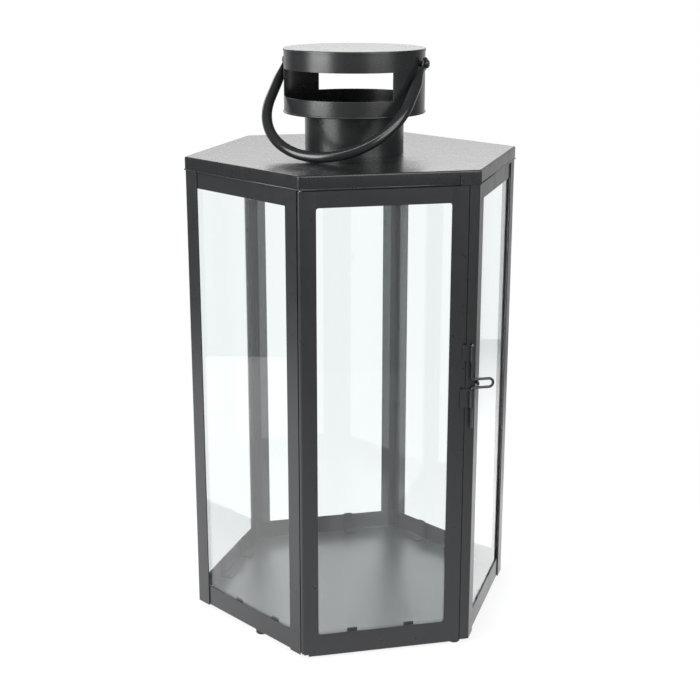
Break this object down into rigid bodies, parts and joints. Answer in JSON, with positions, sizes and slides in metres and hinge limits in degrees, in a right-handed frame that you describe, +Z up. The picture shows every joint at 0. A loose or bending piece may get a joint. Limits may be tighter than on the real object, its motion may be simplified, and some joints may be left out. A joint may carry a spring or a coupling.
{
  "type": "lantern",
  "caption": "Hexagonal black metal lantern with glass sides, a hinged front door with a wire latch, a vented chimney cap and a bail handle.",
  "frame": {"origin": "on the ground under the lantern's upright axis", "axes": "+Z up along the axis; the door faces -Y, and its hinge is on the -X side"},
  "size_m": [0.2328, 0.205, 0.3956],
  "materials": {
    "frame_coat": "satin black powder coat",
    "roof_coat": "satin black powder coat",
    "floor_coat": "satin black powder coat",
    "cap_coat": "semi-gloss black powder coat",
    "handle_coat": "semi-gloss black powder coat",
    "latch_coat": "satin black powder coat",
    "pin_steel": "plain drawn wire",
    "pane_glass": "clear polished float glass",
    "foot_rubber": "matt moulded rubber"
  },
  "bodies": {
    "frame": {"base_floor": "floor_coat", "cap_floor": "cap_coat", "cap_top": "cap_coat", "cap_wall": "cap_coat", "chimney_flange_lower": "cap_coat", "chimney_flange_upper": "cap_coat", "chimney_tube": "cap_coat", "door_header": "frame_coat", "door_hinge_pins": "pin_steel", "door_sill": "frame_coat", "feet": "foot_rubber", "glass_back": "pane_glass", "glass_back_left": "pane_glass", "glass_back_right": "pane_glass", "glass_clips_lower": "frame_coat", "glass_clips_upper": "frame_coat", "glass_left": "pane_glass", "glass_right": "pane_glass", "handle_rivets": "handle_coat", "latch_keeper": "latch_coat", "lower_rail_back": "frame_coat", "lower_rail_back_left": "frame_coat", "lower_rail_back_right": "frame_coat", "lower_rail_left": "frame_coat", "lower_rail_right": "frame_coat", "post_back_left": "frame_coat", "post_back_right": "frame_coat", "post_front_left": "frame_coat", "post_front_right": "frame_coat", "post_left": "frame_coat", "post_right": "frame_coat", "roof": "roof_coat", "roof_lap_tab": "roof_coat", "upper_rail_back": "frame_coat", "upper_rail_back_left": "frame_coat", "upper_rail_back_right": "frame_coat", "upper_rail_left": "frame_coat", "upper_rail_right": "frame_coat"},
    "door": {"door_stile_hinge": "frame_coat", "door_stile_latch": "frame_coat", "door_rail_lower": "frame_coat", "door_rail_upper": "frame_coat", "door_glass": "pane_glass", "door_glass_clips": "frame_coat", "latch_strap_upper": "latch_coat", "latch_strap_lower": "latch_coat"},
    "latch": {"latch_wire": "latch_coat"},
    "handle": {"handle_bail": "handle_coat"}
  },
  "joints": [
    {"name": "door_hinge", "type": "hinge", "parent": "frame", "child": "door", "pos_m": [-0.05659, -0.09803, 0.16], "axis": [0, 0, -1], "range_deg": [0, 120]},
    {"name": "latch_swing", "type": "hinge", "parent": "door", "child": "latch", "pos_m": [0.05505, -0.10228, 0.1875], "axis": [0, 0, -1], "range_deg": [-15, 160]},
    {"name": "handle_swing", "type": "hinge", "parent": "frame", "child": "handle", "pos_m": [0, 0, 0.3862], "axis": [-0.8039, 0.5948, 0], "range_deg": [0, 263.38]}
  ]
}
